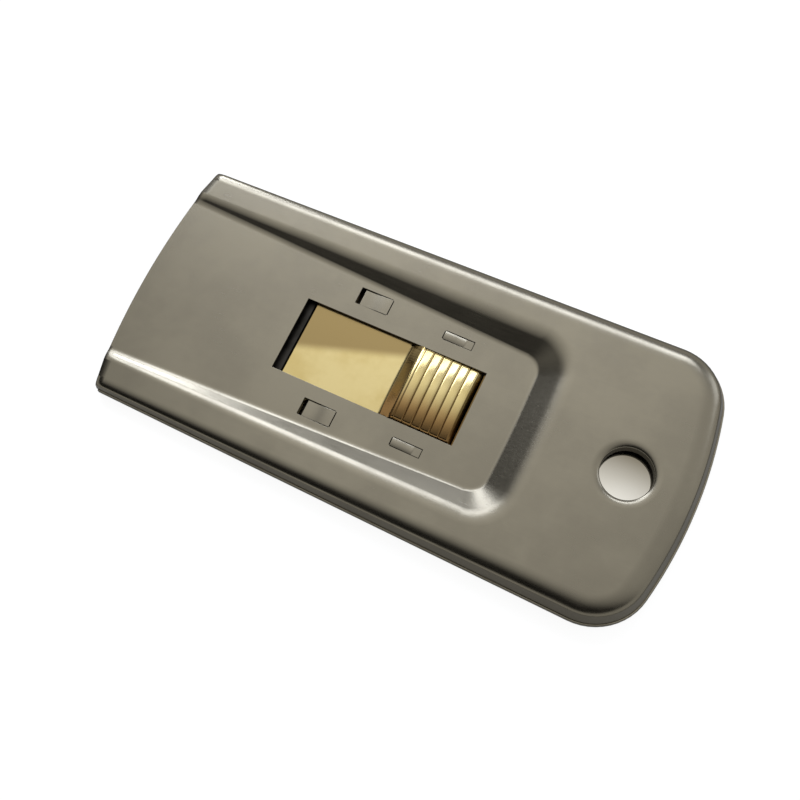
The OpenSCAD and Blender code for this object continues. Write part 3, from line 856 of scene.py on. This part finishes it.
def slide_plate(s):
    """The slide's flat sheet: strip, cross bar and two arms."""
    piece = new_piece("slide_plate")
    half, arm_x = s.blade_width / 2, s.strip_x - s.arm_reach
    cross_x, z = s.strip_x + s.cross_length, s.brass_top
    side = [
        (s.hump_rear_x, s.strip_half), (cross_x, s.strip_half), (cross_x, half), (arm_x, half),
        (arm_x, half - s.arm_width), (s.strip_x, half - s.arm_width),
    ]
    pen = Pen(side[0][0], -side[0][1], z)
    pen.line(*[(x, -y, z) for x, y in side[1:]])
    pen.line(*[(x, y, z) for x, y in reversed(side)])
    bpy.ops.mesh.select_linked()
    bpy.ops.mesh.edge_face_add()
    bpy.ops.mesh.bevel(offset=s.strip_corner, segments=4, affect="VERTICES")
    face_outwards(piece, (s.strip_x, 0, z))
    modify(piece, "SOLIDIFY", thickness=s.brass, offset=-1)
    ease(piece, EASED["plate"])
    return piece


def slide_tail(s):
    """The springy tail that drags on the back cover behind the hump."""
    piece = new_piece("slide_tail")
    x, y, low = s.hump_rear_x, -s.tail_width / 2, s.tail_height + s.brass
    end = x + s.tail_length
    pen = Pen(x - s.tail_lap, y, s.brass_top)
    pen.line((x + s.tail_flat, y, s.brass_top), (end - s.tail_tip, y, low))
    pen.line((end, y, low + s.tip_rise))
    bpy.ops.mesh.select_linked()
    bpy.ops.mesh.extrude_region_move(TRANSFORM_OT_translate={"value": (0, s.tail_width, 0)})
    pick(piece, edges=lambda p: all(x < q.x < end - NEAR for q in p) and p[0].y != p[1].y)
    bpy.ops.mesh.bevel(offset=s.tail_bend, segments=5, affect="EDGES")
    face_outwards(piece, (x, 0, s.brass_top))
    modify(piece, "SOLIDIFY", thickness=s.brass, offset=-1)
    ease(piece, EASED["tail"])
    return piece


def slide_lugs(s):
    """Two lugs that stand in the blade's notches."""
    x, z = s.strip_x - s.arm_reach, s.brass_top - s.lug_seat
    outer = s.blade_width / 2 - s.lug_inset
    inner = outer - s.lug_width
    piece = boxes(
        "slide_lugs",
        *[
            ((x, low, z - s.lug_depth), (x + s.lug_length, high, z))
            for low, high in ((inner, outer), (-outer, -inner))
        ],
    )
    ease(piece, EASED["lugs"], 3)
    return piece


def thumb_hump(s):
    """The drawn hump: one arched section, drawn out into slopes, a plain stretch and ribs."""
    piece = new_piece("thumb_hump")
    centre = s.hump_height - s.hump_arch
    swing = math.asin(s.hump_half / s.hump_arch)
    shoulder = centre + s.hump_arch * math.cos(swing)
    foot = s.brass_top - 0.9 * s.brass
    flat = s.brass_top + 0.01

    def draw_on(x, dx, dz=0, flatten=False):
        """Draws the row at x on by dx, and lets its arch rise by dz or lays it flat."""
        pick(piece, lambda p: abs(p.x - x) < PLAY)
        bpy.ops.mesh.extrude_region_move(TRANSFORM_OT_translate={"value": (dx, 0, dz)})
        if flatten:
            bpy.ops.transform.resize(value=(1, 1, 0), center_override=(0, 0, flat))

    pen = Pen(s.crest_x, -s.hump_half, foot)
    pen.line((s.crest_x, -s.hump_half, shoulder))
    pen.arc((s.crest_x, 0, centre), -2 * swing, ARCH_STEPS, axis=(1, 0, 0))
    pen.line((s.crest_x, s.hump_half, foot))
    # One rib, drawn out in steps and then copied along the falling crest
    fall = s.hump_fall / (s.crest_end_x - s.crest_x)
    draw_on(s.crest_x, s.rib_front_gap, -fall * s.rib_front_gap)
    profile = [
        (s.rib_pitch * at, s.rib_rise * rise - fall * s.rib_pitch * at) for at, rise in RIB_SHAPE
    ]
    for (x, z), (next_x, next_z) in zip(profile, profile[1:]):
        draw_on(s.rib_x + x, next_x - x, next_z - z)
    pick(piece, faces=lambda p: all(q.x > s.rib_x - PLAY for q in p))
    step = (s.rib_pitch, 0, -fall * s.rib_pitch)
    for _ in range(s.rib_count - 1):
        bpy.ops.mesh.duplicate_move(TRANSFORM_OT_translate={"value": step})
    weld()
    # Slopes down to the strip at both ends, with a narrow apron on it
    draw_on(s.crest_x, -s.hump_front_run, flatten=True)
    draw_on(s.hump_x, -s.front_apron)
    draw_on(s.crest_end_x, s.hump_rear_run, flatten=True)
    draw_on(s.hump_rear_x, s.rear_apron)
    pick(piece, lambda p: p.z < s.brass_top - CLEAR)
    bpy.ops.transform.resize(value=(1, 1, 0), center_override=(0, 0, foot))
    weld()

    # Eased edges: the shoulders along both sides, the crest's front and the front slope's foot
    def eased(p):
        raised = all(q.z > flat + CLEAR for q in p)
        on_side = all(abs(abs(q.y) - s.hump_half) < PLAY for q in p)
        on_crest = all(abs(q.x - s.crest_x) < PLAY for q in p)
        return raised and (on_side or on_crest) or all(abs(q.x - s.hump_x) < PLAY for q in p)

    pick(piece, edges=eased)
    bpy.ops.mesh.bevel(offset=s.hump_edge, segments=4, affect="EDGES")
    face_outwards(piece, (s.crest_x, 0, s.hump_height))
    modify(piece, "SOLIDIFY", thickness=s.hump_sheet, offset=-1)
    return piece


def brass_with_painted_shade(s, colours):
    """Brass sheet, with painted shade on the hump and a painted dark reflection on the strip."""
    # Rolled brass, polished by the thumb: a clear yellow mirror with fine rolling lines, browner
    # where it has tarnished, and with painted shade in the grooves and on the hump. The lines are
    # drawn coarser than real.
    finish, tree, shader = sheet_metal(
        "polished_rolled_brass", colours.brass, colours.brass_dull,
        grain_mm=(8, 0.22, 0.22), cloud_mm=9, roughness=(0.17, 0.22), bump_mm=0.0002,
    )
    place = add(tree, "SeparateXYZ", [add(tree, "TexCoord").outputs["Object"]])
    along, across = place.outputs["X"], place.outputs["Y"]
    # Painted shade in the grooves between the ribs, and behind the last rib
    first = add(tree, "Math", [along, s.rib_x * MM], operation="SUBTRACT")
    phase = add(tree, "Math", [first, s.rib_pitch * MM / 2], operation="PINGPONG")
    groove_shade_mask = add(tree, "MapRange", [phase, 0.22 * MM, 0.05 * MM, 0, 0.6], **SOFT)
    after = add(tree, "Math", [along, (s.rib_x - 0.1) * MM], operation="GREATER_THAN")
    before = add(tree, "Math", [along, (s.crest_end_x + 0.1) * MM], operation="LESS_THAN")
    ribs = add(tree, "Math", [after, before], operation="MULTIPLY")
    between = add(tree, "Math", [ribs, groove_shade_mask], operation="MULTIPLY")
    behind = add(tree, "MapRange", [along, s.crest_end_x * MM, (s.crest_end_x + 0.5) * MM, 0, 0.9])
    grooves = add(tree, "Math", [between, behind], operation="MAXIMUM")
    # Painted shade on the hump's near side, which faces away from the light
    near_side = add(tree, "MapRange", [across, 0.5 * MM, -5 * MM, 0, 0.9], **SOFT)
    hump = add(tree, "Math", [along, s.hump_x * MM], operation="GREATER_THAN")
    near_side_shade_mask = add(tree, "Math", [hump, near_side], operation="MULTIPLY")
    # Painted shade on the hump's front slope, and a painted darker reflection beyond a slanting
    # line to the strip's far front corner
    slant = add(tree, "Math", [along, -0.33, across], operation="MULTIPLY_ADD")
    beyond = add(tree, "MapRange", [slant, 4.2 * MM, 6.2 * MM], **SOFT)
    strip = add(tree, "Math", [along, s.hump_x * MM], operation="LESS_THAN")
    corner = add(tree, "Math", [beyond, strip], operation="MULTIPLY")
    middle = (s.hump_x + s.crest_x) / 2 * MM
    slope = add(tree, "Math", [along, middle, s.hump_front_run / 2 * MM], operation="COMPARE")
    browned = add(tree, "Math", [corner, slope], operation="MAXIMUM")
    tone = shader.inputs["Base Color"].links[0].from_socket
    # Each mask paints its shade over the brass's own tone
    for mask, stain in (
        (browned, colours.slope_and_corner_shade), (near_side_shade_mask, colours.near_side_shade), (grooves, colours.groove_shade),
    ):
        tone = add(tree, "Mix", {"Factor": mask, 6: tone, 7: stain}, data_type="RGBA").outputs[2]
    tree.links.new(tone, shader.inputs["Base Color"])
    return finish


class SCRAPER_OT_thumb_slide(bpy.types.Operator):
    """Form the brass slide: plate, lugs, tail and the ribbed thumb hump"""

    bl_idname = "scraper.thumb_slide"
    bl_label = "Thumb Slide"

    def execute(self, context):
        s = sizes(context)
        piece = slide_plate(s)
        join(piece, thumb_hump(s), slide_tail(s), slide_lugs(s))
        finish = brass_with_painted_shade(s, context.scene.scraper_colours)
        finish_piece(piece, "brass_thumb_slide", finish, "slide", "thumb_slide")
        return {"FINISHED"}


class SCRAPER_OT_blade(bpy.types.Operator):
    """Finish the blade and its folded spine, whose shapes are the CAD's own"""

    bl_idname = "scraper.blade"
    bl_label = "Blade and Spine"

    def execute(self, context):
        colours = context.scene.scraper_colours
        # Blade steel, ground across its width: fine lines along the cutting edge, drawn coarser
        # than real, and a film of oil, with the honed bevel brighter than the rest.
        finish, tree, shader = sheet_metal(
            "ground_blade_steel", colours.blade, colours.blade_dull,
            grain_mm=(0.2, 6, 6), cloud_mm=6, roughness=(0.2, 0.3), bump_mm=0.001,
        )
        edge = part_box("razor_blade")[0].x
        along = add(tree, "SeparateXYZ", [add(tree, "TexCoord").outputs["Object"]])
        honed = add(tree, "MapRange", [along, edge + 1.1 * MM, edge + 1.3 * MM, -0.1, 0])
        rough = shader.inputs["Roughness"].links[0].from_socket
        polish = add(tree, "Math", [rough, honed], operation="ADD", use_clamp=True)
        tree.links.new(polish.outputs[0], shader.inputs["Roughness"])
        # Mild steel strip folded hard over the blade's back, coloured dark and dull as painted
        # shade, so that the gap in front of the brass strip reads dark. Its rolling lines are
        # drawn coarser than real.
        spine, _, _ = sheet_metal(
            "mild_steel_painted_dark_as_shade", colours.spine, colours.spine_dull,
            grain_mm=(0.25, 7, 7), cloud_mm=5, roughness=(0.34, 0.46), bump_mm=0.002,
        )
        for node, made in (("razor_blade", finish), ("blade_spine", spine)):
            mesh = frame["nodes"][node].data
            mesh.materials.clear()
            mesh.materials.append(made)
        return {"FINISHED"}


def white_laminate(s, colours):
    """The table's finish."""
    # White laminate: it takes the part's soft shadow, and otherwise shows as plain white to the
    # eye. In the metal it shows only near the part, as a sheet little larger on a dark bench.
    finish, tree = new_finish("white_laminate")
    rays = add(tree, "LightPath").outputs
    place = add(tree, "TexCoord").outputs["Object"]
    size = add(tree, "VectorMath", [place], operation="ABSOLUTE")
    half_part = [(high - low) / 2 for low, high in zip(*CAD_BOX)]
    out = add(tree, "VectorMath", [size, (*half_part[:2], 0)], operation="SUBTRACT")
    parts = add(tree, "SeparateXYZ", [out]).outputs
    past = add(tree, "Math", [parts["X"], parts["Y"]], operation="MAXIMUM")
    sheet = add(tree, "MapRange", [past, 2 * MM, 9 * MM, 0.13, 0.07], **SOFT)
    glossy = rays["Is Glossy Ray"]
    glow = add(tree, "Mix", {"Factor": glossy, "A": 0.9, "B": sheet}, data_type="FLOAT")
    # Under the hanging hole its glow is painted darker as the part's shade, deeper on the far side
    hole = (s.hole_x * MM, 0, 0)
    reach = add(tree, "VectorMath", [place, hole], operation="DISTANCE").outputs["Value"]
    shaded = add(tree, "MapRange", [reach, 9 * MM, 5 * MM])
    across = add(tree, "SeparateXYZ", [place]).outputs["Y"]
    deep = add(tree, "MapRange", [across, -3.5 * MM, 4.5 * MM])
    floor = add(
        tree, "Mix", {"Factor": deep, 6: colours.shade, 7: colours.deep_shade}, data_type="RGBA"
    ).outputs[2]
    shade = add(
        tree, "Mix", {"Factor": shaded, 6: (1, 1, 1, 1), 7: floor}, data_type="RGBA"
    ).outputs[2]
    seen = rays["Is Camera Ray"]
    for ray in (glossy, rays["Is Transmission Ray"]):
        seen = add(tree, "Math", [seen, ray], operation="MAXIMUM")
    strength = add(tree, "Math", [seen, glow], operation="MULTIPLY")
    plain = add(tree, "Emission", {"Color": shade, "Strength": strength})
    lit = add(tree, "BsdfDiffuse", {"Color": (0.28, 0.28, 0.277, 1)})
    add(tree, "OutputMaterial", {"Surface": add(tree, "AddShader", [plain, lit])})
    return finish


def pale_ceiling():
    """The room round the table.

    It is white where the camera looks past the table. Otherwise it has a pale ceiling, brightest
    over the far long side, and below it grey walls that are a little taller at the rear.
    """
    world = bpy.data.worlds.new("pale_ceiling")
    world.use_nodes = True
    tree = world.node_tree
    tree.nodes.clear()
    rays = add(tree, "LightPath").outputs
    way = add(tree, "SeparateXYZ", [add(tree, "TexCoord").outputs["Generated"]]).outputs
    levels = []
    for axis, stops in CEILING.items():
        place = add(tree, "MapRange", [way[axis], -1, 1])
        ramp = add(tree, "ValToRGB", {"Fac": place})
        ramp.color_ramp.interpolation = "B_SPLINE"
        elements = ramp.color_ramp.elements
        for _ in stops[2:]:
            elements.new(0.5)
        for element, (at, level) in zip(elements, stops):
            element.position = at / 2 + 0.5
            element.color = (level, level, level, 1)
        levels.append(ramp)
    ceiling = add(tree, "Math", [levels[0], levels[1]], operation="MULTIPLY")
    lift = add(tree, "Math", [way["X"], -0.15, way["Z"]], operation="MULTIPLY_ADD")
    walls = add(tree, "MapRange", [lift, 0.66, 0.45, 0, 0.42], **SOFT)
    level = add(tree, "Math", [ceiling, walls], operation="MAXIMUM")
    bright = add(tree, "Math", [level, rays["Is Camera Ray"]], operation="MAXIMUM")
    room = add(tree, "Background", {"Color": (1, 1, 1, 1), "Strength": bright})
    add(tree, "OutputWorld", {"Surface": room})
    return world


def soft_light(name, light, middle, width, height, radiance):
    """A flat soft lamp of even radiance and one colour, turned to the part."""
    bpy.ops.object.light_add(type="AREA", location=middle)
    lamp = bpy.context.object
    lamp.name = name
    lamp.data.shape = "RECTANGLE"
    lamp.data.size, lamp.data.size_y = width, height
    lamp.data.energy = radiance * width * height * 4
    lamp.data.color = light[:3]
    lamp.rotation_euler = (-Vector(middle)).to_track_quat("-Z", "Y").to_euler()


class SCRAPER_OT_stage(bpy.types.Operator):
    """Set the white table, the soft lamps, the room and the camera"""

    bl_idname = "scraper.stage"
    bl_label = "Stage"

    def execute(self, context):
        colours = context.scene.scraper_colours
        leave_edit_mode()
        bpy.ops.mesh.primitive_circle_add(
            vertices=ROUND_STEPS, radius=TABLE_RADIUS, fill_type="NGON",
            location=(0, 0, -TABLE_GAP),
        )
        table = bpy.context.object
        table.name = "table"
        bpy.ops.object.transform_apply(location=True, rotation=True, scale=True)
        table.data.materials.append(white_laminate(sizes(context), colours))
        context.scene.world = pale_ceiling()

        # A lamp beyond the far long side draws the bright lines along the bends, a small one beyond
        # the mouth's far corner lights the recess corner across from it, and a faint one beyond the
        # rear's far corner carries the line on round that corner.
        for name, lamp in LAMPS.items():
            soft_light(name, colours.daylight, *lamp)

        # The camera stands over the panel's near side, close enough for a strong perspective
        bpy.ops.object.camera_add()
        camera = bpy.context.object
        camera.name = "photo_camera"
        camera.data.sensor_width, camera.data.lens = 36, 50
        camera.data.shift_x, camera.data.shift_y = CAMERA_SHIFT
        camera.data.clip_start, camera.data.clip_end = 0.005, 20
        back = Vector(CAMERA_BACK).normalized()
        right = Vector(CAMERA_RIGHT)
        right = (right - right.dot(back) * back).normalized()
        turn = Matrix((right, back.cross(right), back)).transposed()
        camera.matrix_world = Matrix.Translation(CAMERA_PLACE) @ turn.to_4x4()
        context.scene.camera = camera
        context.scene.view_settings.view_transform = "Standard"
        return {"FINISHED"}


class SCRAPER_PT_pieces(bpy.types.Panel):
    """The scraper's pieces, in the order in which they are made"""

    bl_idname = "SCRAPER_PT_pieces"
    bl_label = "Pocket Scraper"
    bl_space_type = "VIEW_3D"
    bl_region_type = "UI"
    bl_category = "Scraper"

    def draw(self, context):
        for operator in OPERATORS:
            self.layout.operator(operator.bl_idname)
        for group in (context.scene.scraper_sizes, context.scene.scraper_colours):
            column = self.layout.column()
            for name in group.__annotations__:
                column.prop(group, name)


OPERATORS = (
    SCRAPER_OT_top_cover,
    SCRAPER_OT_back_cover,
    SCRAPER_OT_thumb_slide,
    SCRAPER_OT_blade,
    SCRAPER_OT_stage,
)
CLASSES = (ScraperSizes, ScraperColours, *OPERATORS, SCRAPER_PT_pieces)


def register():
    for made in CLASSES:
        bpy.utils.register_class(made)
    bpy.types.Scene.scraper_sizes = bpy.props.PointerProperty(type=ScraperSizes)
    bpy.types.Scene.scraper_colours = bpy.props.PointerProperty(type=ScraperColours)


def unregister():
    del bpy.types.Scene.scraper_colours
    del bpy.types.Scene.scraper_sizes
    for made in reversed(CLASSES):
        bpy.utils.unregister_class(made)


def main():
    register()
    bpy.ops.scraper.top_cover()
    bpy.ops.scraper.back_cover()
    bpy.ops.scraper.thumb_slide()
    bpy.ops.scraper.blade()
    bpy.ops.scraper.stage()


if __name__ == "__main__":
    main()
